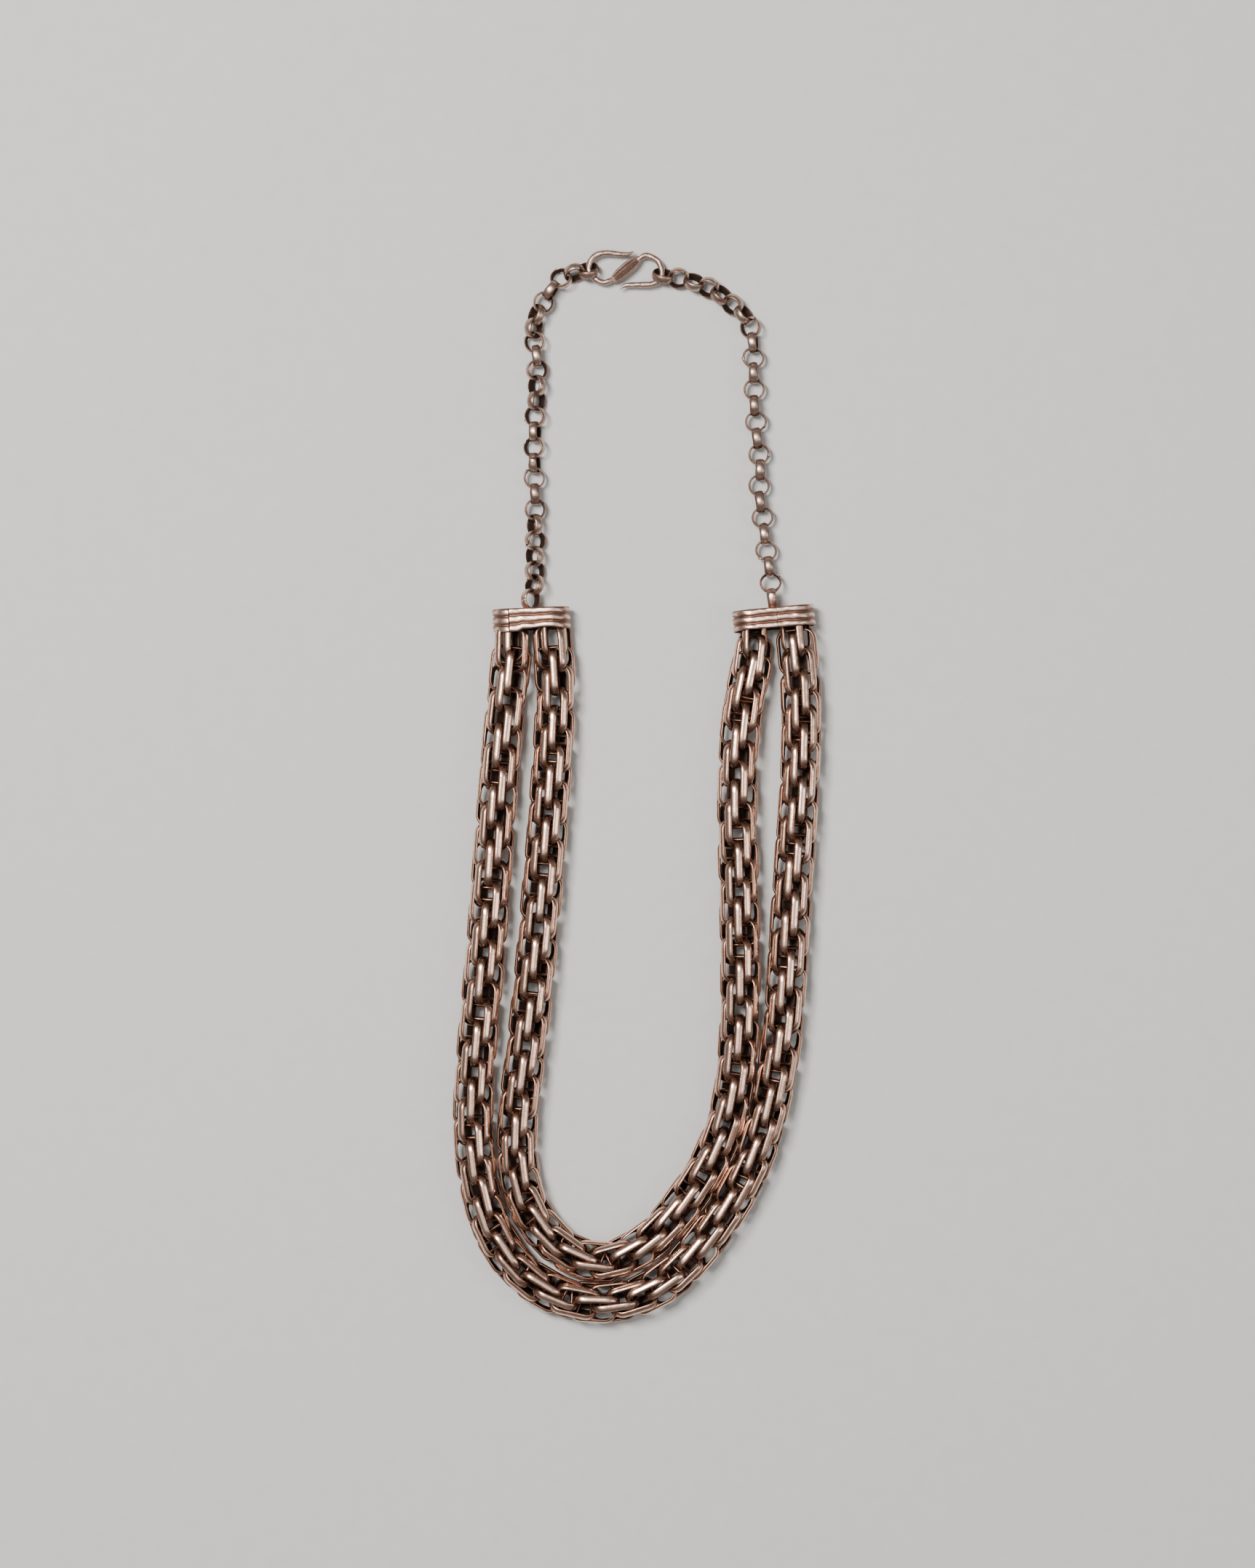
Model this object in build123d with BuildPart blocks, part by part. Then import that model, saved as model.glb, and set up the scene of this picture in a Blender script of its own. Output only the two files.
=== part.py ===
from build123d import *
import os
from math import cos, pi, radians, sin, tan

# A silver snake necklace lying flat: two thick ropes of interlocked strap rings between two ribbed
# caps, a belcher chain from each cap, and an S-shaped hook that joins the chains.
# Millimetres. Z is up, the origin is under the middle of the necklace, on the surface it lies on,
# and +Y runs from the bottom of the ropes to the hook.

# Strap ring of the snake ropes: a rounded rectangle of domed strap
strap_width = 1.4
strap_thickness = 0.38
strap_edge = 0.26
link_across = 8.84
link_corner = 2.2
end_link_across = 7.1
end_strap_width = 1.2

# How the rings are stacked: crossed pairs, each pair a level on and a turn on from the last one
pair_count = 79
pair_turn = 30
crossing_angle = 90
first_turn = 45
pair_gap = 0.15
hook_gap = 1.2
bend_shift = 0.5
chord_share = 0.35
rope_floor_gap = 0.01

# The tube that stands for the inner rope, with a neck at each end that goes into its cap
tube_diameter = 8.2
neck_diameter = 5.5

# Caps: hollow ovals of three ribs, with a plate across the top and a pin across the inside
left_cap_width = 17.7
right_cap_width = 18.7
cap_depth = 8.84
cap_wall = 0.35
plate_thickness = 0.5
rib_height = 1.3
rib_count = 3
rib_groove = 0.5
groove_depth = 0.25
rib_round = 0.4
pin_diameter = 0.7
pin_gap = 0.35
cap_gap = 0.3
straight_end = 4.5
left_cap_mouth = (-23.8, 35.4)
left_cap_tilt = 2.5
right_cap_mouth = (31.2, 35.5)
right_cap_tilt = 5.4
left_rope_pitch = 9.1
right_rope_pitch = 9.3

# Round strap ring of the belcher chains, also used for the loop on each cap
ring_outer = 5.2
ring_thickness = 0.4
ring_edge = 0.22
ring_width = 1.7
loop_sink = 0.3
chain_height = 2.62
chain_fall = 6.0

# S hook
hook_wire = 1.3
hook_tip = 0.75
hook_tip_length = 1.2
hook_height = 2.35
leaf_width = 2.9
leaf_thickness = 0.95
leaf_facet = 0.25
leaf_overlap = 1.0
leaf_low = (-5.4, 115.0)
leaf_high = (0.5, 119.8)

# Chosen points of the routes, in the plane of the surface. The two ropes start and end in the caps,
# so their first and last points come from the caps and these are the ones between.
outer_rope_points = [
    (-29.4, 21.3), (-31.3, 3.3), (-34.1, -36.7), (-36.7, -62.7), (-37.4, -79.3), (-35.5, -92.9),
    (-32.4, -102.0), (-27.2, -109.6), (-19.7, -115.0), (-10.8, -117.4), (-1.6, -116.6), (6.7, -112.6),
    (13.2, -106.1), (20.6, -95.9), (26.6, -84.7), (30.5, -71.4), (33.3, -54.7), (34.8, -27.7),
    (37.1, 3.3), (37.3, 21.3),
]
inner_rope_points = [
    (-18.2, 21.3), (-20.1, -8.2), (-24.1, -52.7), (-27.6, -77.7), (-26.7, -90.9), (-22.4, -99.9),
    (-15.8, -106.1), (-7.5, -108.8), (1.4, -104.5), (7.2, -99.0), (12.9, -91.5), (17.4, -83.9),
    (20.5, -75.7), (22.3, -66.6), (23.5, -51.7), (23.3, -28.7), (22.4, 0.3), (23.9, 19.3),
]
left_arm_points = [
    (-6.7, 114.3), (-8.2, 114.4), (-9.7, 115.2), (-10.7, 116.5), (-11.0, 118.0), (-10.3, 119.8),
    (-8.7, 120.9), (-6.5, 121.1), (-3.5, 120.7), (-1.8, 120.7),
]
left_arm_tip = (-0.7, 121.4)
right_arm_points = [
    (1.5, 120.5), (2.5, 120.5), (4.2, 119.8), (5.4, 118.4), (5.8, 116.3), (5.2, 114.7),
    (3.6, 113.9), (1.1, 113.8), (-2.1, 113.8), (-3.2, 113.5),
]
right_arm_tip = (-4.0, 112.7)

# Middle of each link of the chains, from the cap to the hook
left_chain_points = [
    (-23.2, 45.7), (-23.2, 48.8), (-23.2, 52.2), (-23.1, 55.7), (-23.2, 59.3), (-23.1, 62.8),
    (-23.2, 66.3), (-23.3, 69.9), (-23.3, 73.3), (-23.3, 76.9), (-23.2, 80.4), (-23.1, 83.9),
    (-22.8, 87.4), (-22.7, 90.9), (-22.7, 94.4), (-22.8, 97.6), (-23.2, 100.8), (-23.4, 103.9),
    (-22.8, 107.0), (-21.2, 109.8), (-19.5, 112.5), (-17.2, 115.2), (-14.25, 116.5), (-11.1, 117.0),
]
right_chain_points = [
    (30.3, 46.1), (29.9, 49.8), (29.3, 53.4), (28.9, 57.2), (28.5, 61.0), (27.9, 64.6), (27.7, 68.2),
    (27.9, 71.8), (27.7, 75.3), (27.2, 78.9), (27.0, 82.7), (26.6, 86.4), (26.6, 90.0), (26.4, 93.7),
    (26.4, 97.2), (26.3, 100.7), (25.8, 104.1), (24.2, 107.0), (21.7, 109.3), (19.0, 111.5),
    (16.2, 113.2), (12.9, 114.4), (9.4, 115.3), (5.9, 115.8),
]

# Angle of each link about the run of its chain: 0 lies flat and 90 stands on edge
left_chain_angles = [
    -133, -221, -129, -217, -118, -192, -93, -181, -80, -156, -79, -156, -53, -128, -22, -92, 18, -52,
    60, -15, 95, 22, 122, 52,
]
right_chain_angles = [
    0, -90, 0, -90, 0, -90, 0, -90, 0, -90, 0, -90, 0, -90, 0, -82, 25, -60, 43, -47, 43, -50, 36, -58,
]

# Worked out from the sizes above
link_half = link_across / 2
rope_height = link_half + rope_floor_gap
pair_step = strap_thickness + pair_gap
cap_length = rib_count * rib_height + (rib_count - 1) * rib_groove
pin_depth = cap_length - plate_thickness - pin_gap - strap_thickness - pair_step - pin_gap - pin_diameter / 2
ring_half = ring_outer / 2

os.makedirs("parts", exist_ok=True)


# Routes: straight runs joined by tangent arcs, each as large as its two runs allow
arc_share = 0.49


def arc_radii(points):
    corners = [Vector(*point) for point in points]
    radii = []
    for before, here, after in zip(corners, corners[1:], corners[2:]):
        half_turn = radians((here - before).get_angle(after - here)) / 2
        shorter = min((here - before).length, (after - here).length)
        radii.append(arc_share * shorter / tan(half_turn))
    return radii


def route(points, height):
    raised = [point if len(point) == 3 else (*point, height) for point in points]
    with BuildLine() as line:
        FilletPolyline(*raised, radius=arc_radii(raised))
    return line.wire()


def point_along(wire, distance):
    return wire.position_at(min(max(distance, 0), wire.length), PositionMode.LENGTH)


def chord_plane(wire, distance, reach):
    """Origin and direction of a stiff link that spans the route by reach on either side."""
    back, here, ahead = (point_along(wire, distance + step) for step in (-reach, 0, reach))
    return (back + ahead + 2 * here) / 4, (ahead - back).normalized()


# Caps
def cap_plane(mouth, tilt):
    """Origin in the cap's mouth, local Z up the cap and local X across it, left to right."""
    turn = radians(tilt)
    return Plane((*mouth, rope_height), x_dir=(cos(turn), sin(turn), 0), z_dir=(-sin(turn), cos(turn), 0))


def strap_ring_profile(outer, width, thickness, edge):
    """Half section of a round ring of domed strap, on the XZ plane."""
    with BuildSketch(Plane.XZ) as profile:
        with BuildLine():
            inside = outer - thickness
            Polyline((inside + edge, -width / 2), (inside, -width / 2), (inside, width / 2),
                     (inside + edge, width / 2))
            ThreePointArc((inside + edge, width / 2), (outer, 0), (inside + edge, -width / 2))
        make_face()
    return profile


with BuildPart() as round_link:
    add(strap_ring_profile(ring_half, ring_width, ring_thickness, ring_edge).sketch)
    revolve(axis=Axis.Z)


def make_cap(name, plane, width, loop_roll):
    with BuildPart() as rib:
        with BuildSketch():
            SlotOverall(width, cap_depth)
        extrude(amount=rib_height)
        fillet(rib.faces().filter_by(Axis.Z).edges(), rib_round)
    with BuildPart() as cap:
        with BuildSketch():
            SlotOverall(width - 2 * groove_depth, cap_depth - 2 * groove_depth)
        extrude(amount=cap_length - rib_height / 2)
        with Locations(*[(0, 0, index * (rib_height + rib_groove)) for index in range(rib_count)]):
            add(rib.part)
        with BuildSketch():
            SlotOverall(width - 2 * (groove_depth + cap_wall), cap_depth - 2 * (groove_depth + cap_wall))
        extrude(amount=cap_length - plate_thickness, mode=Mode.SUBTRACT)
        with Locations((0, 0, pin_depth)):
            Cylinder(pin_diameter / 2, width - 2 * groove_depth - cap_wall, rotation=(0, 90, 0))
        with Locations((0, 0, cap_length + ring_half - loop_sink)):
            with Locations(Rotation(0, 90, 0) * Rotation(loop_roll, 0, 0)):
                add(round_link.part)
    part = cap.part.moved(plane.location)
    part.label = name
    return part


left_plane = cap_plane(left_cap_mouth, left_cap_tilt)
right_plane = cap_plane(right_cap_mouth, right_cap_tilt)
left_cap = make_cap("left_cap", left_plane, left_cap_width, 45)
right_cap = make_cap("right_cap", right_plane, right_cap_width, 0)


def in_cap(plane, across, depth):
    return tuple(plane.from_local_coords(Vector(across, 0, depth)))


# Snake rope link, swept round a rounded rectangle in the XY plane, its length along Y
end_depth = cap_length - plate_thickness - pin_gap


def rope_route(points, left_across, right_across, depth):
    """Route from cap to cap that leaves each cap straight."""
    return route(
        [in_cap(left_plane, left_across, depth), in_cap(left_plane, left_across, -straight_end), *points,
         in_cap(right_plane, right_across, -straight_end), in_cap(right_plane, right_across, depth)],
        rope_height,
    )


outer_route = rope_route(outer_rope_points, -left_rope_pitch / 2, right_rope_pitch / 2, end_depth)
# The first link is a level's length inside the route's end, whatever its own length is
link_slack = 2 * strap_thickness + pair_step + hook_gap
level = (outer_route.length - pair_step - link_slack) / (pair_count + 1)
link_length = 2 * level + link_slack


def make_rope_link(width, strap):
    across = width / 2 - strap_thickness
    along = link_length / 2 - strap_thickness
    corner = link_corner - strap_thickness
    with BuildPart() as link:
        with BuildLine() as link_path:
            side = Line((across, corner - along), (across, along - corner))
            CenterArc((across - corner, along - corner), corner, 0, 90)
            Line((across - corner, along), (corner - across, along))
            CenterArc((corner - across, along - corner), corner, 90, 90)
            Line((-across, along - corner), (-across, corner - along))
            CenterArc((corner - across, corner - along), corner, 180, 90)
            Line((corner - across, -along), (across - corner, -along))
            CenterArc((across - corner, corner - along), corner, 270, 90)
        with BuildSketch(Plane(side @ 0, x_dir=(1, 0, 0), z_dir=(0, 1, 0))):
            with BuildLine():
                Polyline((strap_edge, -strap / 2), (0, -strap / 2), (0, strap / 2), (strap_edge, strap / 2))
                ThreePointArc((strap_edge, strap / 2), (strap_thickness, 0), (strap_edge, -strap / 2))
            make_face()
        sweep(path=link_path.wire())
    return link.part


rope_link = make_rope_link(link_across, strap_width)
# The first and last pair are narrower, to go into the caps
end_link = make_rope_link(end_link_across, end_strap_width)


def rope_link_location(wire, distance, turn):
    """Place of a link whose plane holds the rope's axis and is turned from upright by turn degrees."""
    reach = link_length / 2
    start = wire.tangent_at(max(distance - reach, 0), PositionMode.LENGTH)
    end = wire.tangent_at(min(distance + reach, wire.length), PositionMode.LENGTH)
    bend = radians(start.get_angle(end)) / link_length
    # Links that lie in the plane of a bend ride forward, which shares out the room in it
    distance -= bend_shift * bend * cos(radians(2 * turn))
    origin, ahead = chord_plane(wire, distance, chord_share * link_length)
    sideways = Vector(0, 0, 1).cross(ahead)
    outward = Vector(0, 0, 1) * cos(radians(turn)) + sideways * sin(radians(turn))
    return Plane(origin, x_dir=outward, z_dir=outward.cross(ahead)).location


outer_links = []
for index in range(pair_count):
    turn = first_turn - pair_turn * index
    start = level + link_slack / 2 + level * index
    link = end_link if index in (0, pair_count - 1) else rope_link
    outer_links.append(link.moved(rope_link_location(outer_route, start, turn)))
    crossed = rope_link_location(outer_route, start + pair_step, turn + crossing_angle)
    outer_links.append(link.moved(crossed))
outer_rope = Compound(label="outer_rope", children=outer_links)

# Inner rope: one tube along its route, its necks ending just under the caps' pins
inner_route = rope_route(inner_rope_points, left_rope_pitch / 2, -right_rope_pitch / 2, -cap_gap)
neck_length = pin_depth - pin_diameter / 2
with BuildPart() as inner_rope:
    with BuildSketch(Plane(inner_route @ 0, z_dir=inner_route % 0)):
        Circle(tube_diameter / 2)
    sweep(path=inner_route)
    for end, plane in ((inner_route @ 0, left_plane), (inner_route @ 1, right_plane)):
        with BuildSketch(Plane(end, z_dir=plane.z_dir)):
            Circle(neck_diameter / 2)
        extrude(amount=neck_length)
inner_rope.part.label = "inner_rope"


# Belcher chains: link by link, coming down from the cap's loop to lie on the surface
def make_chain(name, plane, points, angles):
    loop_centre = Vector(*in_cap(plane, 0, cap_length + ring_half - loop_sink))
    centres = [loop_centre]
    for x, y in points:
        fallen = min((Vector(x, y) - Vector(loop_centre.X, loop_centre.Y)).length / chain_fall, 1)
        centres.append(Vector(x, y, loop_centre.Z + (chain_height - loop_centre.Z) * fallen))
    links = []
    for index, angle in enumerate(angles, start=1):
        ahead = (centres[min(index + 1, len(angles))] - centres[index - 1]).normalized()
        sideways = Vector(0, 0, 1).cross(ahead).normalized()
        axis = sideways.cross(ahead) * -cos(radians(angle)) + sideways * sin(radians(angle))
        links.append(round_link.part.moved(Plane(centres[index], x_dir=ahead, z_dir=axis).location))
    return Compound(label=name, children=links)


left_chain = make_chain("left_chain", left_plane, left_chain_points, left_chain_angles)
right_chain = make_chain("right_chain", right_plane, right_chain_points, right_chain_angles)

# S hook: a flattened leaf with a wire arm bent back from each end
leaf_run = Vector(*leaf_high) - Vector(*leaf_low)
leaf_plane = Plane((Vector(*leaf_low) + Vector(*leaf_high)) / 2 + Vector(0, 0, hook_height),
                   x_dir=leaf_run, z_dir=(0, 0, 1))
with BuildPart() as s_hook:
    half = leaf_run.length / 2
    with BuildSketch(leaf_plane):
        with BuildLine():
            ThreePointArc((-half, 0), (0, leaf_width / 2), (half, 0))
            ThreePointArc((-half, 0), (0, -leaf_width / 2), (half, 0))
        make_face()
    extrude(amount=leaf_thickness / 2, both=True)
    chamfer(s_hook.faces().filter_by(Axis.Z).edges(), leaf_facet)
    inward = leaf_run.normalized() * leaf_overlap
    for points, tip, root in (
        (left_arm_points, left_arm_tip, Vector(*leaf_low) + inward),
        (right_arm_points, right_arm_tip, Vector(*leaf_high) - inward),
    ):
        arm = route([(root.X, root.Y), *points], hook_height)
        with BuildSketch(Plane(arm @ 0, z_dir=arm % 0)):
            Circle(hook_wire / 2)
        sweep(path=arm)
        flare = (Vector(*tip, hook_height) - arm @ 1).normalized()
        with BuildSketch(Plane(arm @ 1, z_dir=flare)):
            Circle(hook_wire / 2)
        with BuildSketch(Plane(arm @ 1 + flare * hook_tip_length, z_dir=flare)):
            Circle(hook_tip / 2)
        loft()
s_hook.part.label = "s_hook"

for piece in (outer_rope, inner_rope.part, left_cap, right_cap, left_chain, right_chain, s_hook.part):
    export_step(piece, f"parts/{piece.label}.step")

print("outer route", round(outer_route.length, 2), "level", round(level, 3), "link", round(link_length, 3))
print("inner route", round(inner_route.length, 2), "its arc radii",
      [round(edge.radius, 1) for edge in inner_route.edges() if edge.geom_type == GeomType.CIRCLE])
tube_volume = pi * tube_diameter**2 / 4 * inner_route.length
print("inner tube volume share", round(inner_rope.part.volume / tube_volume, 4))
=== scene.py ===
import math

import bmesh
import bpy
import numpy as np
from mathutils import Matrix, Vector


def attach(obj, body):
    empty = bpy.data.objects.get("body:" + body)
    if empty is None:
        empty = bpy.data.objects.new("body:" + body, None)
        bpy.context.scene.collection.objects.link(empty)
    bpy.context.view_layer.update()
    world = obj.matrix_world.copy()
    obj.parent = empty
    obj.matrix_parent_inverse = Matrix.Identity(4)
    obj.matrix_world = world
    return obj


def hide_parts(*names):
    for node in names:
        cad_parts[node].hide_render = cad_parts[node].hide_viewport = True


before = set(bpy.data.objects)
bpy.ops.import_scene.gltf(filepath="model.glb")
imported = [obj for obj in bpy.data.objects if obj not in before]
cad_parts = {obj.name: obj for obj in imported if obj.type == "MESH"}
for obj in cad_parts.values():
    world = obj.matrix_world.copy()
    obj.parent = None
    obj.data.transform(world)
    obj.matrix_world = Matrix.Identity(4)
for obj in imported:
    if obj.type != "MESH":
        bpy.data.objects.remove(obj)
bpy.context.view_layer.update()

# Table: the necklace lies flat on a plain pale floor and is seen from straight above. A soft light
# stands at the upper left, a weaker one at the right, and a wide one hangs overhead.
MM = 0.001
camera_height = 0.9
picture_height = 0.357
picture_centre = (-2.15 * MM, 0.46 * MM)
sensor_height = 24.0

camera = bpy.data.objects.new("camera", bpy.data.cameras.new("camera"))
bpy.context.scene.collection.objects.link(camera)
bpy.context.scene.camera = camera
camera.location = (*picture_centre, camera_height)
camera.data.sensor_fit = "VERTICAL"
camera.data.sensor_height = sensor_height
camera.data.lens = sensor_height * camera_height / picture_height

world = bpy.data.worlds.new("studio")
bpy.context.scene.world = world
world.use_nodes = True
world.node_tree.nodes["Background"].inputs["Color"].default_value = (1.0, 0.97, 0.95, 1.0)
world.node_tree.nodes["Background"].inputs["Strength"].default_value = 0.17


def soft_light(name, place, size, power):
    lamp = bpy.data.lights.new(name, "AREA")
    lamp.shape = "RECTANGLE"
    lamp.size, lamp.size_y = size
    lamp.energy = power
    lamp.color = (1.0, 0.965, 0.93)
    light = bpy.data.objects.new(name, lamp)
    light.location = place
    light.rotation_euler = (Vector((0, 0, 0)) - Vector(place)).to_track_quat("-Z", "Y").to_euler()
    bpy.context.scene.collection.objects.link(light)


soft_light("key_light", (-0.34, 0.26, 1.0), (0.2, 0.4), 18)
soft_light("fill_light", (0.75, -0.1, 0.7), (0.3, 0.8), 2.5)
soft_light("overhead_light", (-0.15, 0.0, 1.15), (1.1, 1.1), 3.0)


class Value:
    """A socket in a finish's node tree. Arithmetic on it adds Math nodes."""

    def __init__(self, finish, socket):
        self.finish = finish
        self.socket = socket

    def maths(self, operation, *values):
        sockets = dict(enumerate(values))
        return self.finish.node("ShaderNodeMath", {"operation": operation}, sockets)

    def __add__(self, other):
        return self.maths("ADD", self, other)

    def __sub__(self, other):
        return self.maths("SUBTRACT", self, other)

    def __mul__(self, other):
        return self.maths("MULTIPLY", self, other)

    def __radd__(self, other):
        return self.maths("ADD", other, self)

    def __rsub__(self, other):
        return self.maths("SUBTRACT", other, self)

    def __rmul__(self, other):
        return self.maths("MULTIPLY", other, self)

    def step(self, low, high):
        """Goes smoothly from 0 at low to 1 at high."""
        sockets = {"Value": self, "From Min": low, "From Max": high}
        return self.finish.node("ShaderNodeMapRange", {"interpolation_type": "SMOOTHSTEP"}, sockets)


class Finish:
    """A material made of nodes."""

    def __init__(self, name):
        self.material = bpy.data.materials.new(name)
        self.material.use_nodes = True
        self.tree = self.material.node_tree
        self.shader = self.tree.nodes["Principled BSDF"]

    def plug(self, socket, value):
        if isinstance(value, Value):
            self.tree.links.new(value.socket, socket)
        else:
            socket.default_value = value

    def node(self, kind, settings=None, sockets=None, output=0):
        made = self.tree.nodes.new(kind)
        for name, value in (settings or {}).items():
            setattr(made, name, value)
        for name, value in (sockets or {}).items():
            self.plug(made.inputs[name], value)
        return Value(self, made.outputs[output])

    def mask(self, name):
        """A number that the mesh holds at each of its points."""
        return self.node("ShaderNodeAttribute", {"attribute_name": name}, output="Fac")

    def noise(self, scale, detail=3.0, roughness=0.55):
        place = self.node("ShaderNodeTexCoord", output="Object")
        sockets = {"Vector": place, "Scale": scale, "Detail": detail, "Roughness": roughness}
        return self.node("ShaderNodeTexNoise", sockets=sockets)

    def blend(self, share, first, second):
        sockets = {0: share, 6: first, 7: second}
        return self.node("ShaderNodeMix", {"data_type": "RGBA"}, sockets, output=2)

    def bump(self, height, distance):
        return self.node("ShaderNodeBump", sockets={"Height": height, "Distance": distance})

    def surface(self, **sockets):
        for name, value in sockets.items():
            self.plug(self.shader.inputs[name.replace("_", " ")], value)
        return self.material


floor_finish = Finish("pale_floor")
floor_tone = floor_finish.blend(
    floor_finish.noise(240.0), (0.55, 0.55, 0.545, 1.0), (0.60, 0.60, 0.59, 1.0)
)
floor_finish.surface(Base_Color=floor_tone, Roughness=0.85)
floor_half = 1.5
floor_corners = [
    (x * floor_half, y * floor_half, 0) for x, y in ((-1, -1), (1, -1), (1, 1), (-1, 1))
]
floor_mesh = bpy.data.meshes.new("floor")
floor_mesh.from_pydata(floor_corners, [], [(0, 1, 2, 3)])
floor_mesh.materials.append(floor_finish.material)
floor = bpy.data.objects.new("floor", floor_mesh)
bpy.context.scene.collection.objects.link(floor)


# Snake ropes: each is a chain of rounded rings of domed silver strap, in crossed pairs. Each pair
# hooks into the pairs before it and is turned a twelfth of a turn on. Handling keeps the outer faces
# bright, and a painted highlight runs along the ridge of each side bar. The ends and insides of the
# rings are brown, and painted shade darkens the ends and the inner faces.
chance = np.random.default_rng(245)
rope_height = 4.43
left_cap_mouth = Vector((-23.8, 35.4, rope_height)) * MM
left_cap_tilt = math.radians(2.5)
right_cap_mouth = Vector((31.2, 35.5, rope_height)) * MM
right_cap_tilt = math.radians(5.4)

# A rope's line ends this far up inside the cap, is straight down to this far below its mouth, and
# enters this far to one side of the cap's middle
rope_end_depth = 3.9
straight_end = -4.5
left_rope_offset = 4.55
right_rope_offset = 4.65

outer_rope_points = [
    (-29.4, 21.3), (-31.3, 3.3), (-34.1, -36.7), (-36.7, -62.7), (-37.4, -79.3), (-35.5, -92.9),
    (-32.4, -102.0), (-27.2, -109.6), (-19.7, -115.0), (-10.8, -117.4), (-1.6, -116.6), (6.7, -112.6),
    (13.2, -106.1), (20.6, -95.9), (26.6, -84.7), (30.5, -71.4), (33.3, -54.7), (34.8, -27.7),
    (37.1, 3.3), (37.3, 21.3),
]
inner_rope_points = [
    (-18.2, 21.3), (-20.1, -8.2), (-24.1, -52.7), (-27.6, -77.7), (-26.7, -90.9), (-22.4, -99.9),
    (-15.8, -106.1), (-7.5, -108.8), (1.4, -104.5), (7.2, -99.0), (12.9, -91.5), (17.4, -83.9),
    (20.5, -75.7), (22.3, -66.6), (23.5, -51.7), (23.3, -28.7), (22.4, 0.3), (23.9, 19.3),
]


def cap_frame(mouth, tilt):
    """Local Z up the cap, local X across it."""
    across = Vector((math.cos(tilt), math.sin(tilt), 0))
    up = Vector((-math.sin(tilt), math.cos(tilt), 0))
    turn = Matrix((across, up.cross(across), up)).transposed()
    return Matrix.Translation(mouth) @ turn.to_4x4()


left_cap_frame = cap_frame(left_cap_mouth, left_cap_tilt)
right_cap_frame = cap_frame(right_cap_mouth, right_cap_tilt)


def smooth_route(points):
    """Points along the smooth curve that these points control."""
    curve = bpy.data.curves.new("route", "CURVE")
    curve.dimensions = "3D"
    curve.resolution_u = 24
    spline = curve.splines.new("NURBS")
    spline.points.add(len(points) - 1)
    for point, place in zip(spline.points, points):
        point.co = (*place, 1.0)
    spline.order_u = 3
    spline.use_endpoint_u = True
    guide = bpy.data.objects.new("route", curve)
    bpy.context.scene.collection.objects.link(guide)
    line = bpy.data.meshes.new_from_object(guide)
    found = np.array([tuple(vertex.co) for vertex in line.vertices])
    bpy.data.objects.remove(guide)
    return found


class Route:
    """A line of points that is measured along its length."""

    def __init__(self, points):
        self.points = points
        steps = np.linalg.norm(np.diff(points, axis=0), axis=1)
        self.distance = np.concatenate([[0.0], np.cumsum(steps)])
        self.length = self.distance[-1]

    def at(self, distance):
        return Vector([np.interp(distance, self.distance, axis) for axis in self.points.T])

    def chord(self, distance, reach):
        """Middle and direction of a stiff link that spans the route by reach on either side."""
        back = self.at(distance - reach)
        here = self.at(distance)
        ahead = self.at(distance + reach)
        return (back + ahead + 2 * here) / 4, (ahead - back).normalized()


def rope_route(points, left_across, right_across):
    depths = (rope_end_depth, straight_end)
    ends = []
    for cap, across in ((left_cap_frame, left_across), (right_cap_frame, right_across)):
        ends.append([cap @ (Vector((across, 0, depth)) * MM) for depth in depths])
    between = [(x * MM, y * MM, rope_height * MM) for x, y in points]
    return Route(smooth_route([*ends[0], *between, ends[1][1], ends[1][0]]))


ring_side_points = 8
ring_end_points = 3
ring_corner_points = 5
ring_points = 2 * (ring_side_points + ring_end_points) + 4 * ring_corner_points


def rounded_rectangle(half_width, half_length, corner):
    """Points and outward normals round it, anticlockwise from the foot of its +X side."""
    places = []
    normals = []
    straight_x = half_width - corner
    straight_y = half_length - corner
    for quarter in range(4):
        turn = quarter * math.pi / 2
        long_side = quarter % 2 == 0
        outward = np.array([math.cos(turn), math.sin(turn)])
        onward = np.array([-outward[1], outward[0]])
        reach, half_run = (half_width, straight_y) if long_side else (half_length, straight_x)
        count = ring_side_points if long_side else ring_end_points
        for share in np.linspace(-1, 1, count, endpoint=False):
            places.append(outward * reach + onward * half_run * share)
            normals.append(outward)
        centre = outward * (reach - corner) + onward * half_run
        for share in np.linspace(0, 1, ring_corner_points, endpoint=False):
            way = outward * math.cos(share * math.pi / 2) + onward * math.sin(share * math.pi / 2)
            places.append(centre + way * corner)
            normals.append(way)
    return np.array(places), np.array(normals)


section_points = 13
section_fullness = 0.75


def strap_section(width, thickness, edge):
    """Closed outline of a domed strap: how far out of its inner face, and how far across."""
    turn = np.linspace(0, 2 * math.pi, section_points, endpoint=False)
    rise = np.sin(turn)
    out = edge + np.where(rise > 0, thickness - edge, edge) * rise
    side = np.sign(np.cos(turn)) * np.abs(np.cos(turn)) ** section_fullness * width / 2
    return np.column_stack([out, side])


def loft_faces(rings, around, closed=True):
    """Quads between rings of points, where a closed loft joins its last ring to its first."""
    spans = rings if closed else rings - 1
    ring, step = np.meshgrid(np.arange(spans), np.arange(around), indexing="ij")
    next_ring = (ring + 1) % rings
    next_step = (step + 1) % around
    corners = ((ring, step), (ring, next_step), (next_ring, next_step), (next_ring, step))
    return np.stack([row * around + column for row, column in corners], axis=-1).reshape(-1, 4)


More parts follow.
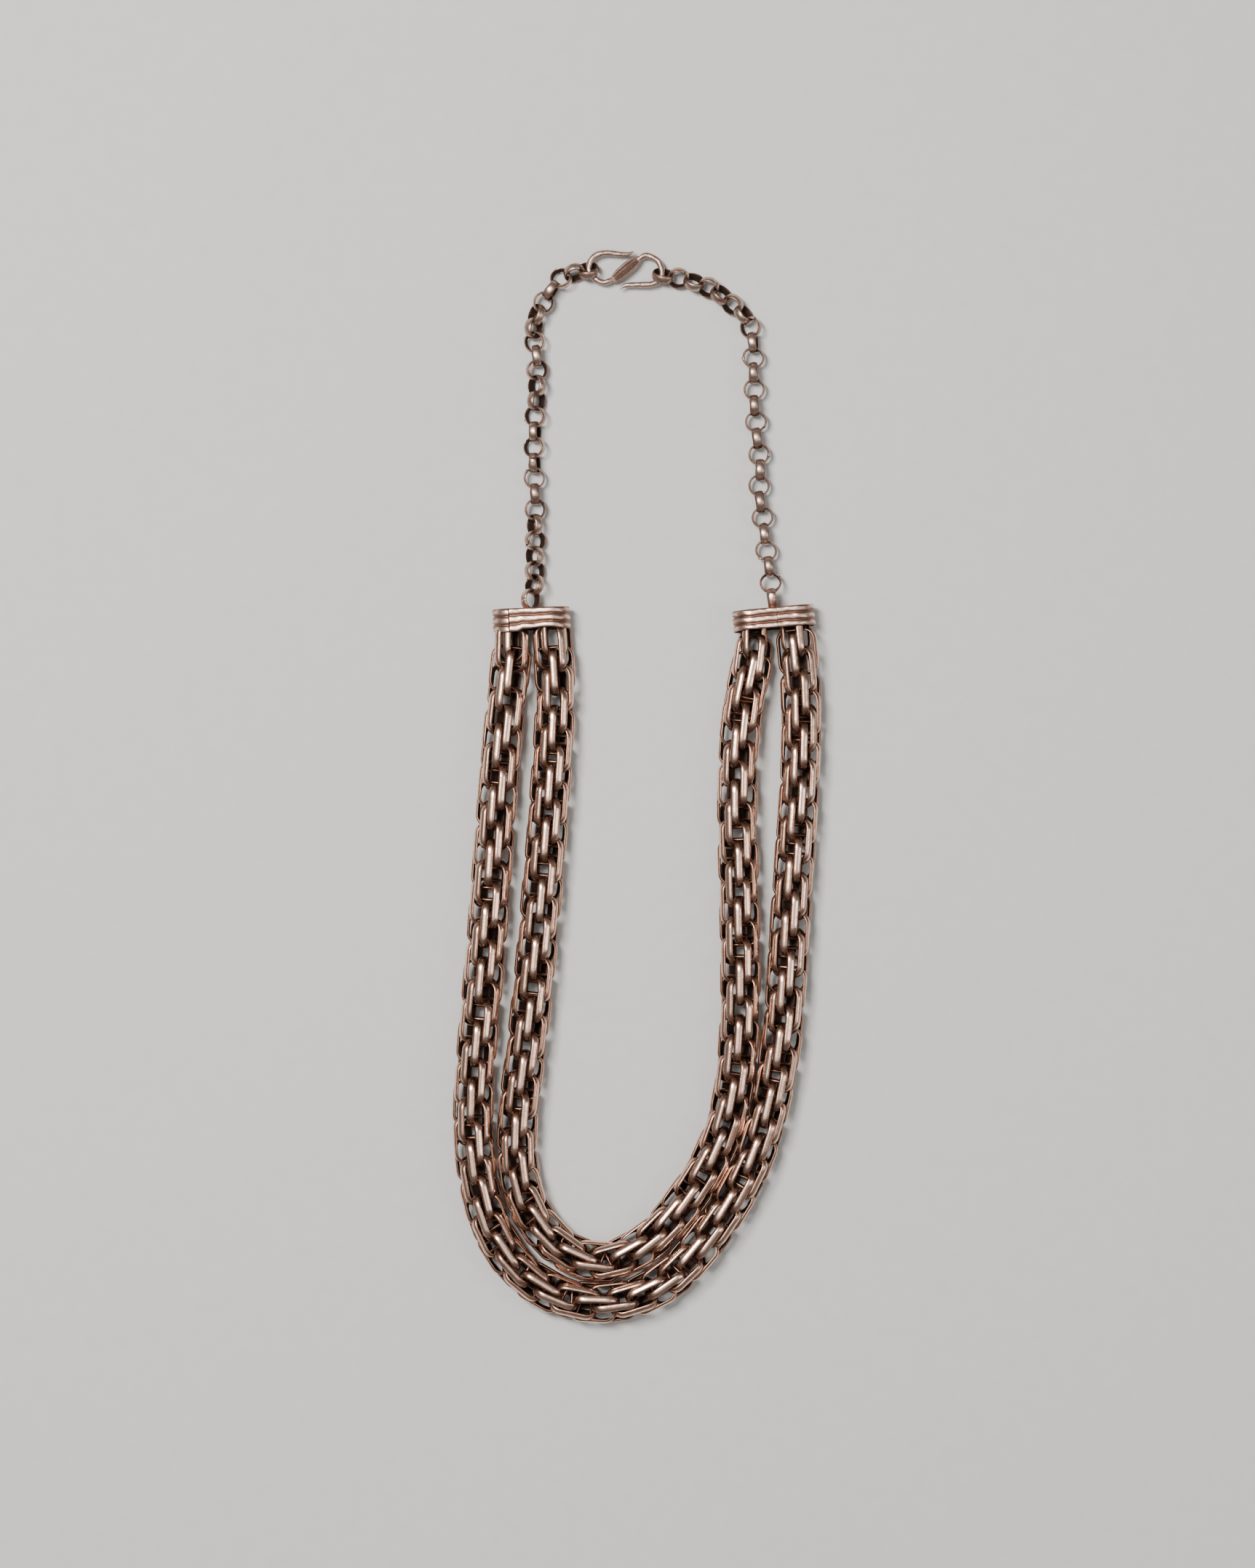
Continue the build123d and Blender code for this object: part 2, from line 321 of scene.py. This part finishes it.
class Pile:
    """Collects the points, faces and masks of many small pieces for one mesh."""

    def __init__(self):
        self.places = []
        self.faces = []
        self.masks = {}
        self.count = 0

    def add(self, places, faces, **masks):
        self.places.append(places)
        self.faces.append(faces + self.count)
        for name, values in masks.items():
            self.masks.setdefault(name, []).append(values)
        self.count += len(places)

    def piece(self, name, material, slot, *nodes):
        mesh = bpy.data.meshes.new(name)
        mesh.from_pydata(np.concatenate(self.places), [], np.concatenate(self.faces))
        for mask, values in self.masks.items():
            attribute = mesh.attributes.new(mask, "FLOAT", "POINT")
            attribute.data.foreach_set("value", np.concatenate(values))
        mesh.polygons.foreach_set("use_smooth", [True] * len(mesh.polygons))
        mesh.materials.append(material)
        made = bpy.data.objects.new(name, mesh)
        bpy.context.scene.collection.objects.link(made)
        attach(made, "root")
        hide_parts(*nodes)


grain_scale = 2600.0
pit_tone = (0.10, 0.058, 0.043, 1.0)
# Near-black tone: painted shade on inner faces and in hollows, and the real darkness of seams and
# cracks.
painted_shade_and_seam_tone = (0.05, 0.031, 0.025, 1.0)


def aged_silver(name, bright, brown, roughness, mottle, depth, cloud_scale=650.0):
    """Silver kept bright where it is rubbed and where a highlight is painted, over brown tarnish, with
    dark pits, dark seams, and painted shade on inner faces and in hollows.
    """
    finish = Finish(name)
    # Where this mask is high the silver is bright: rubbed wear together with a painted highlight.
    worn = finish.mask("worn")
    hollow = finish.mask("hollow")
    cloud = finish.noise(cloud_scale, 4.0)
    grain = finish.noise(grain_scale, 4.0, 0.65)
    tarnish = (1 - worn) + (cloud - 0.5) * 0.9 + (grain - 0.5) * mottle
    tarnish = tarnish.step(0.0, 1.0)
    pits = (grain - cloud * 0.3).step(0.44, 0.56) * (0.5 * mottle)
    tone = finish.blend(tarnish, bright, brown)
    tone = finish.blend(pits, tone, pit_tone)
    # This dark tone paints shade into inner faces and hollows, and darkens the seams and cracks.
    tone = finish.blend(hollow, tone, painted_shade_and_seam_tone)
    dullness = roughness + tarnish * 0.12 + pits * 0.15 + hollow * 0.25
    relief = finish.bump(cloud + grain * 0.5 - pits * 0.5, depth)
    return finish.surface(Base_Color=tone, Metallic=1.0, Roughness=dullness, Normal=relief)


rope_finish = aged_silver(
    "rope_silver_wear_and_painted_light", bright=(0.89, 0.61, 0.485, 1.0), brown=(0.27, 0.14, 0.094, 1.0),
    roughness=0.21, mottle=0.5, depth=0.000025,
)

strap_width = 1.85
strap_thickness = 0.72
strap_edge = 0.17
ring_across = 9.3
rope_flattening = 0.935
ring_corner = 2.7
ring_length = 10.9
pair_turn = -30.0
pair_gap = 0.6
end_ring_across = 7.2
end_ring_length = 10.0
chord_share = 0.35
across_spread = 0.06
length_spread = 0.1
turn_spread = 2.0
bare_end_share = 0.45

# Where the pairs lie: the ropes are a little slack, so their pairs bunch and open along them
outer_pair_places = [
    # pair, distance along the rope, turn of the whole rope
    (0, 5.6, 160), (1, 7.6, 165), (2, 12.7, 154), (3, 16.7, 157), (4, 21.9, 162), (6, 30.1, 162),
    (12, 56.7, 171), (18, 83.4, 176), (24, 110.7, 174), (30, 137.1, 162), (36, 161.7, 162),
    (42, 187.6, 170), (48, 214.3, 164), (54, 239.2, 155), (60, 265.3, 169), (66, 291.0, 170),
    (72, 316.7, 171), (74, 324.2, 170), (75, 328.2, 169), (76, 333.2, 168), (78, 341.8, 167),
]
inner_pair_places = [
    (0, 5.5, 144), (1, 7.9, 147), (2, 13.1, 146), (3, 17.4, 150), (4, 22.4, 150), (6, 30.6, 149),
    (12, 55.7, 145), (18, 82.9, 149), (24, 109.4, 146), (30, 135.2, 133), (36, 159.9, 140),
    (42, 186.4, 150), (48, 211.8, 151), (54, 238.7, 157), (60, 265.2, 152), (66, 292.1, 170),
    (70, 307.4, 184), (71, 312.2, 188),
]
section = strap_section(strap_width, strap_thickness, strap_edge)


def strap_ring(across, length):
    """Points of one ring with its length along Y, its rubbed wear with a painted highlight along each
    side bar's ridge, and painted shade on its inner face.
    """
    path, normals = rounded_rectangle(
        across / 2 - strap_thickness, length / 2 - strap_thickness, ring_corner - strap_thickness
    )
    out, side = section[:, 0], section[:, 1]
    flat = path[:, None, :] + normals[:, None, :] * out[None, :, None]
    level = np.broadcast_to(side[None, :, None], (ring_points, section_points, 1))
    places = np.concatenate([flat, level], axis=2).reshape(-1, 3)
    on_side = normals[:, 0] ** 2
    # The ring fades to brown towards its ends: tarnish, with painted shade.
    from_end = np.clip((1.0 - np.abs(path[:, 1]) / (length / 2)) / bare_end_share, 0, 1)
    half_thickness = strap_thickness / 2
    # The ridge of each side bar is painted brighter as a highlight, fading across the dome to the
    # flanks.
    top = np.clip((out - half_thickness) / half_thickness, 0, 1) ** 2
    worn = (on_side * from_end)[:, None] * top[None, :]
    # The inner face is painted dark as shade.
    hollow = np.broadcast_to(np.clip(1.15 - out / strap_edge, 0, 1), worn.shape)
    return places, worn.reshape(-1), hollow.reshape(-1)


def snake_rope(name, node, route, pair_places):
    pile = Pile()
    faces = loft_faces(ring_points, section_points)
    known_pairs, known_distances, known_turns = zip(*pair_places)
    pair_count = known_pairs[-1] + 1
    for pair in range(pair_count):
        in_cap = pair in (0, pair_count - 1)
        place = np.interp(pair, known_pairs, known_distances)
        rope_turn = np.interp(pair, known_pairs, known_turns)
        for crossed in range(2):
            across = (end_ring_across if in_cap else ring_across) + chance.normal(0, across_spread)
            length = (end_ring_length if in_cap else ring_length) + chance.normal(0, length_spread)
            shape, worn, hollow = strap_ring(across, length)
            distance = (place + crossed * pair_gap) * MM
            turn = rope_turn + pair_turn * pair + 90 * crossed + chance.normal(0, turn_spread)
            turn = math.radians(turn)
            middle, ahead = route.chord(distance, chord_share * length * MM)
            sideways = Vector((0, 0, 1)).cross(ahead).normalized()
            outward = Vector((0, 0, 1)) * math.cos(turn) + sideways * math.sin(turn)
            axes = np.array([outward, ahead, outward.cross(ahead)])
            places = shape @ axes * MM
            places[:, 2] *= rope_flattening
            places += np.array(middle)
            pile.add(places, faces, worn=worn * chance.uniform(0.75, 1.05), hollow=hollow)
    pile.piece(name, rope_finish, "rope_silver", node)


outer_route = rope_route(outer_rope_points, -left_rope_offset, right_rope_offset)
inner_route = rope_route(inner_rope_points, left_rope_offset, -right_rope_offset)
snake_rope("outer_snake_rope", "outer_rope", outer_route, outer_pair_places)
snake_rope("inner_snake_rope", "inner_rope", inner_route, inner_pair_places)


# Belcher chains: round rings of domed strap, each soldered at a rough seam, each through the next
# and about square to it. They are less rubbed than the ropes. A ring of the same kind is soldered on
# each cap as its loop, and the last ring of each chain hangs on the hook.
belcher_radius = 2.5
belcher_width = 1.95
belcher_thickness = 0.54
belcher_edge = 0.14
belcher_segments = 64
belcher_section = strap_section(belcher_width, belcher_thickness, belcher_edge)
belcher_faces = loft_faces(belcher_segments, section_points)

# The seam's reach, its step and its crack are angles round the ring
seam_reach = 0.28
seam_step = 0.03
seam_crack = 0.06
seam_lap = (0.15, 0.45)
seam_roughness = 0.09

chain_finish = aged_silver(
    "chain_silver", bright=(0.57, 0.42, 0.35, 1.0), brown=(0.18, 0.097, 0.068, 1.0),
    roughness=0.33, mottle=1.0, depth=0.00004,
)


def belcher_ring(along, axis):
    """Points of a ring about its middle, with along square to its axis, and its masks: rubbed wear with
    a painted highlight on the dome, and painted shade inside with a dark seam crack.
    """
    angles = np.linspace(0, 2 * math.pi, belcher_segments, endpoint=False)
    seam = chance.uniform(0, 2 * math.pi)
    from_seam = (angles - seam + math.pi) % (2 * math.pi) - math.pi
    near = np.exp(-((from_seam / seam_reach) ** 2))
    step = np.tanh(from_seam / seam_step) * near
    lap = step * chance.uniform(*seam_lap)
    rough = near[:, None] * chance.normal(0, seam_roughness, (belcher_segments, section_points))
    uneven = chance.uniform(0, 2 * math.pi, 3)
    out, side = belcher_section[:, 0], belcher_section[:, 1]
    inside = belcher_radius - belcher_thickness + 0.05 * np.cos(2 * angles - uneven[0])
    thick = 1 + lap + 0.06 * np.sin(2 * angles + uneven[1])
    wide = 1 - 0.08 * near + 0.05 * np.sin(3 * angles + uneven[2])
    radius = inside[:, None] + out[None, :] * thick[:, None] + np.clip(rough, -0.08, 0.12)
    width = side[None, :] * wide[:, None] + 0.5 * rough
    across, onward = np.cos(angles)[:, None], np.sin(angles)[:, None]
    places = np.stack([radius * across, radius * onward, width], axis=-1)
    # Painted highlight along the top of the dome, with rubbed wear at the seam.
    top = np.clip((out - 0.35 * belcher_thickness) / (0.65 * belcher_thickness), 0, 1) ** 1.5
    worn = np.clip(top[None, :] * chance.uniform(0.6, 1.0) + 0.45 * step[:, None] + 5 * rough, 0, 1)
    crack = 0.8 * np.exp(-((from_seam / seam_crack) ** 2))
    # Painted shade on the inner face; the seam crack is a real dark joint.
    hollow = np.maximum(np.clip(1.15 - out / belcher_edge, 0, 1)[None, :], crack[:, None])
    axes = np.array([along, np.cross(axis, along), axis])
    return places.reshape(-1, 3) @ axes * MM, worn.reshape(-1), hollow.reshape(-1)


weld_distance = 1e-6
axis_side = (0.3, 0.1, 1.0)
along_guide = (0.0, 1.0, 0.0)


def rings_of(node):
    """Middle, axis and one way across of each ring of the frame's chain, in order of Y.

    Each axis is turned to the side that axis_side points to, so it comes out the same every time.
    """
    loose = bmesh.new()
    loose.from_mesh(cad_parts[node].data)
    bmesh.ops.remove_doubles(loose, verts=loose.verts, dist=weld_distance)
    seen = set()
    found = []
    for first in loose.verts:
        if first in seen:
            continue
        seen.add(first)
        reached = [first]
        for vertex in reached:
            for edge in vertex.link_edges:
                other = edge.other_vert(vertex)
                if other not in seen:
                    seen.add(other)
                    reached.append(other)
        places = np.array([tuple(vertex.co) for vertex in reached])
        middle = (places.max(axis=0) + places.min(axis=0)) / 2
        axis = np.linalg.svd(places - middle, full_matrices=False)[2][2]
        axis *= np.sign(axis @ axis_side)
        along = np.cross(axis, along_guide)
        found.append((middle, axis, along / np.linalg.norm(along)))
    loose.free()
    return sorted(found, key=lambda ring: ring[0][1])


def belcher_chain(name, node):
    pile = Pile()
    for middle, axis, along in rings_of(node):
        shape, worn, hollow = belcher_ring(along, axis)
        pile.add(shape + middle, belcher_faces, worn=worn, hollow=hollow)
    pile.piece(name, chain_finish, "chain_silver", node)


belcher_chain("left_belcher_chain", "left_chain")
belcher_chain("right_belcher_chain", "right_chain")


# Caps: each pair of rope ends goes into a hollow oval cap, bent round from ribbed strip, soldered at
# one seam in front where its ends don't quite meet, and closed with a plate that carries the loop.
# A cross pin inside, which doesn't show, holds the ropes' end rings.
cap_depth = 8.84
cap_length = 4.9
cap_wall = 0.6
cap_plate = 0.5
rib_height = 1.3
rib_groove = 0.5
groove_depth = 0.28
plate_joint = 0.38
joint_width = 0.07
pin_radius = 0.35
pin_place = 2.4
loop_sink = 0.5
left_cap_width = 17.7
right_cap_width = 18.7
rib_rounding = 0.12
rim_rounding = 0.16
rib_waver = 0.07
dent_depth = 0.035
cap_seam_width = 0.09
seam_half_width = 0.5
cap_columns = 230
seam_columns = 26
cap_rows = 58
pin_points = 12
left_rim_waves = [
    # across the cap, how far the rim hangs down
    (-8.8, 0.47), (-7.1, 0.43), (-4.8, 0.48), (-3.1, 0.45), (-1.9, -0.05), (-0.5, -0.11), (0.4, -0.19),
    (2.8, -0.37), (4.4, -0.37), (6.1, -0.17), (8.5, 0.12),
]
right_rim_waves = [
    (-9.3, -0.38), (-6.5, -0.43), (-4.0, -0.30), (0.0, -0.27), (3.0, -0.20), (6.0, -0.28), (9.3, -0.15),
]

cap_finish = aged_silver(
    "ribbed_cap_silver", bright=(0.78, 0.56, 0.47, 1.0), brown=(0.27, 0.155, 0.115, 1.0),
    roughness=0.31, mottle=0.9, depth=0.00003,
)


def oval(width, run, inset):
    """Points at these distances round the front and back of a cap, moved in by inset."""
    radius = cap_depth / 2
    straight = width / 2 - radius
    side, along = np.divmod(run, 2 * straight + math.pi * radius)
    flip = np.where(side < 1, 1, -1)
    on_end = np.maximum(along - 2 * straight, 0) / radius
    centre = straight - np.minimum(along, 2 * straight)
    reach = radius - inset
    return flip * (centre - np.sin(on_end) * reach), flip * np.cos(on_end) * reach


def ribbed_cap(name, node, placed, width, rim_waves, seam, seam_depth, loop_turn):
    straight = width / 2 - cap_depth / 2
    around = 4 * straight + math.pi * cap_depth
    seam_run = around / 2 + straight + seam
    even_run = np.linspace(0, around, cap_columns, endpoint=False)
    fine_run = seam_run + np.linspace(-seam_half_width, seam_half_width, seam_columns)
    run = np.sort(np.concatenate([even_run, fine_run]))
    front_x, front_y = oval(width, run, 0.0)
    front = np.clip(-front_y / (cap_depth / 2), 0, 1)
    hang = np.interp(front_x, *zip(*rim_waves)) * np.sqrt(front)
    from_seam = run - seam_run
    in_seam = seam_depth * np.exp(-((from_seam / cap_seam_width) ** 2))
    before_seam = (from_seam < 0) * front
    uneven = chance.uniform(0, 2 * math.pi, (3, 4))

    def waves(row, height):
        pitches = (0.55, 1.1, 1.9, 3.1)
        return sum(np.sin(run * pitch + phase + height * pitch) / (1 + pitch)
                   for pitch, phase in zip(pitches, uneven[row]))

    rings = []
    worn = []
    hollow = []

    def layer(height, inset, bright, dark):
        x, y = oval(width, run, inset)
        level = height - hang * (1 - height / cap_length) ** 1.5
        rings.append(np.column_stack([x, y, level]))
        worn.append(np.broadcast_to(bright, run.shape))
        hollow.append(np.broadcast_to(dark, run.shape))

    inner_top = cap_length - cap_plate
    # The inner walls and the underside of the rim are painted dark as shade.
    layer(inner_top, cap_depth / 2, 0, 1)
    layer(inner_top, cap_wall, 0, 1)
    layer(0.4, cap_wall, 0, 1)
    layer(0.05, cap_wall * 0.85, 0, 0.7)
    for height in np.linspace(0, cap_length, cap_rows):
        on_rib = height + seam_depth * before_seam + rib_waver * waves(0, 0)
        place = on_rib % (rib_height + rib_groove)
        crown = np.clip(1 - ((place - rib_height / 2) / (rib_height / 2)) ** 2, 0, 1)
        groove = np.clip((place - rib_height) / rib_groove, 0, 1)
        groove = np.sin(groove * math.pi) ** 0.7 * np.clip((cap_length - height) / 0.3, 0, 1)
        rim = math.exp(-height / 0.12) + math.exp((height - cap_length) / 0.14)
        inset = rib_rounding * (1 - crown) + groove_depth * groove + rim_rounding * rim
        inset = np.maximum(inset + dent_depth * waves(1, height) + in_seam, 0.0)
        from_joint = height - cap_length + plate_joint
        joint = np.exp(-((from_joint / joint_width) ** 2)) * np.clip(waves(2, 0), 0, 1)
        # The rib crowns are bright from wear and a painted highlight; grooves, seams and the plate
        # joint are brown.
        bright = 0.95 * crown**2 - 1.1 * groove - 4 * in_seam - joint + 0.25 * waves(2, 3 * height)
        bright = np.clip(bright, 0, 1)
        layer(height, inset, bright, 2 * in_seam + 0.5 * joint)
    for inset, bright in ((0.5, 0.7), (1.1, 0.5), (2.2, 0.4), (cap_depth / 2, 0.4)):
        layer(cap_length + 0.02 * inset, inset, bright, 0)
    pile = Pile()
    turn = np.array(placed.to_3x3()).T
    middle = np.array(placed.translation)
    cap_faces = loft_faces(len(rings), len(run), closed=False)
    pile.add(np.concatenate(rings) @ turn * MM + middle, cap_faces,
             worn=np.concatenate(worn), hollow=np.concatenate(hollow))
    half_pin = width / 2 - cap_wall / 2
    angles = np.linspace(0, 2 * math.pi, pin_points, endpoint=False)
    pin_y = np.cos(angles) * pin_radius
    pin_z = np.sin(angles) * pin_radius + pin_place
    pin_ends = [np.full(pin_points, end) for end in (-half_pin, half_pin)]
    pin = np.concatenate([np.column_stack([pin_x, pin_y, pin_z]) for pin_x in pin_ends])
    # The pin is painted dark as shade.
    pile.add(pin @ turn * MM + middle, loft_faces(2, pin_points, closed=False),
             worn=np.zeros(2 * pin_points), hollow=np.ones(2 * pin_points))
    across, back, up = turn
    loop_middle = middle + up * (cap_length + belcher_radius - loop_sink) * MM
    loop_axis = across * math.cos(loop_turn) + back * math.sin(loop_turn)
    shape, loop_wear_and_highlight, loop_painted_shade_and_seams = belcher_ring(up, loop_axis)
    pile.add(shape + loop_middle, belcher_faces, worn=loop_wear_and_highlight * 0.8, hollow=loop_painted_shade_and_seams)
    pile.piece(name, cap_finish, "cap_silver", node)


ribbed_cap(
    "left_ribbed_cap", "left_cap", left_cap_frame, left_cap_width, left_rim_waves,
    seam=-5.0, seam_depth=0.22, loop_turn=math.radians(-45),
)
ribbed_cap(
    "right_ribbed_cap", "right_cap", right_cap_frame, right_cap_width, right_rim_waves,
    seam=0.7, seam_depth=0.07, loop_turn=0.0,
)


# S hook: a stout wire bent into an S through the end rings of both chains, rough from the hammer,
# beaten into a flat-faceted leaf across its middle, with its tips drawn thin and turned outwards.
hook_height = 2.35 * MM
leaf_width = 2.85
leaf_thickness = 1.0
leaf_low = Vector((-5.8, 114.6))
leaf_high = Vector((0.8, 120.1))
left_arm_points = [
    (-4.6, 115.6), (-6.7, 114.3), (-8.2, 114.4), (-9.7, 115.2), (-10.7, 116.5), (-11.0, 118.0),
    (-10.3, 119.8), (-8.7, 120.9), (-6.5, 121.1), (-3.5, 120.7), (-1.8, 120.7), (-0.7, 121.4),
]
right_arm_points = [
    (-0.3, 119.2), (1.5, 120.5), (2.5, 120.5), (4.2, 119.8), (5.4, 118.4), (5.8, 116.3), (5.2, 114.7),
    (3.6, 113.9), (1.1, 113.8), (-2.1, 113.8), (-3.2, 113.5), (-4.0, 112.7),
]
wire_sizes = [
    # from the tip, across the wire
    (0.0, 0.0), (0.02, 0.42), (0.6, 0.55), (1.6, 1.0), (3.0, 1.2), (6.0, 1.38), (11.0, 1.5),
    (16.0, 1.35), (30.0, 1.3),
]
wire_around = 20
wire_steps = 200
wire_reach = 0.3
blow_spread = 0.008
leaf_columns = 15
leaf_rows = 61
scratch_depth = 0.018
scratched_share = 0.6
leaf_edge_share = 0.14

hook_finish = aged_silver(
    "hammered_hook_silver", bright=(0.48, 0.35, 0.29, 1.0), brown=(0.18, 0.10, 0.074, 1.0),
    roughness=0.38, mottle=0.8, depth=0.00007, cloud_scale=1700.0,
)


def hook_arm(pile, points):
    route = Route(smooth_route([(x * MM, y * MM, hook_height) for x, y in points]))
    angles = np.linspace(0, 2 * math.pi, wire_around, endpoint=False)
    up = np.array([0.0, 0.0, 1.0])
    uneven = chance.uniform(0, 2 * math.pi, 4)
    rings = []
    for distance in np.linspace(0, route.length, wire_steps):
        middle, ahead = route.chord(distance, wire_reach * MM)
        side = np.cross(up, np.array(ahead))
        from_tip = (route.length - distance) / MM
        along = distance / MM
        size = np.interp(from_tip, *zip(*wire_sizes)) / 2 * min(1.0, 0.5 + along / 4)
        blows = 1 + 0.03 * np.sin(2 * angles + 1.7 * along + uneven[0])
        fine_blows = chance.normal(0, blow_spread, wire_around)
        blows += 0.025 * np.sin(3 * angles - 2.9 * along + uneven[1]) + fine_blows
        ring = (np.cos(angles) * blows)[:, None] * side + (np.sin(angles) * blows)[:, None] * up
        rings.append(np.array(middle) + ring * size * MM)
    count = wire_steps * wire_around
    worn = np.clip(0.75 + chance.normal(0, 0.12, count), 0, 1)
    pile.add(np.concatenate(rings), loft_faces(wire_steps, wire_around, closed=False),
             worn=worn, hollow=np.zeros(count))


def hook_leaf(pile):
    """A leaf with a flat top in three facets, bright along its thin edges from wear and a painted
    highlight, with painted shade on its flat faces.
    """
    run = leaf_high - leaf_low
    along = np.array([*run.normalized(), 0.0])
    side = np.array([along[1], -along[0], 0.0])
    middle = np.array([*((leaf_low + leaf_high) / 2 * MM), hook_height])
    half = run.length / 2
    over = np.linspace(-1, 1, leaf_columns)
    under = np.linspace(1, -1, leaf_columns)
    across = np.sin(np.concatenate([over, under]) * math.pi / 2)
    face = np.repeat([1, -1], leaf_columns)
    scratches = np.zeros(2 * leaf_columns)
    scratches[:leaf_columns] = chance.normal(0, scratch_depth, leaf_columns)
    rings = []
    worn = []
    hollow = []
    shares = np.sin(np.linspace(-1, 1, leaf_rows) * math.pi / 2)
    for share in shares:
        blunt = math.sqrt(1 - max(0.0, 8 * abs(share) - 7) ** 2)
        width = leaf_width * (1 - 0.6 * abs(share) ** 2.4) * blunt / 2
        low_facet = max(0.0, -share - 0.5)
        high_facet = max(0.0, share - 0.35)
        flat = np.clip((1 - np.abs(across)) / leaf_edge_share, 0.4, 1)
        flat = flat * (1 - 0.5 * low_facet - 0.35 * high_facet)
        rise = face * flat * leaf_thickness / 2 - np.abs(scratches) * (abs(share) < scratched_share)
        ring = (across * width)[:, None] * side + (rise * blunt)[:, None] * np.array([0, 0, 1.0])
        rings.append(middle + (ring + along * half * share) * MM)
        # The rims are bright from wear and a painted highlight.
        rim = np.clip((np.abs(across) - 0.7) / 0.12, 0, 1)
        rubbed_end = max(0.0, abs(share) - scratched_share)
        worn.append(0.15 + 1.2 * rim + 12 * scratches + 0.9 * rubbed_end)
        # The flat faces are painted dark as shade.
        hollow.append(0.75 * (1 - rim) * min(1.0, 4 - 4 * abs(share)))
    pile.add(np.concatenate(rings), loft_faces(len(shares), len(across), closed=False),
             worn=np.concatenate(worn), hollow=np.concatenate(hollow))


hook_pile = Pile()
hook_arm(hook_pile, left_arm_points)
hook_arm(hook_pile, right_arm_points)
hook_leaf(hook_pile)
hook_pile.piece("silver_s_hook", hook_finish, "hook_silver", "s_hook")
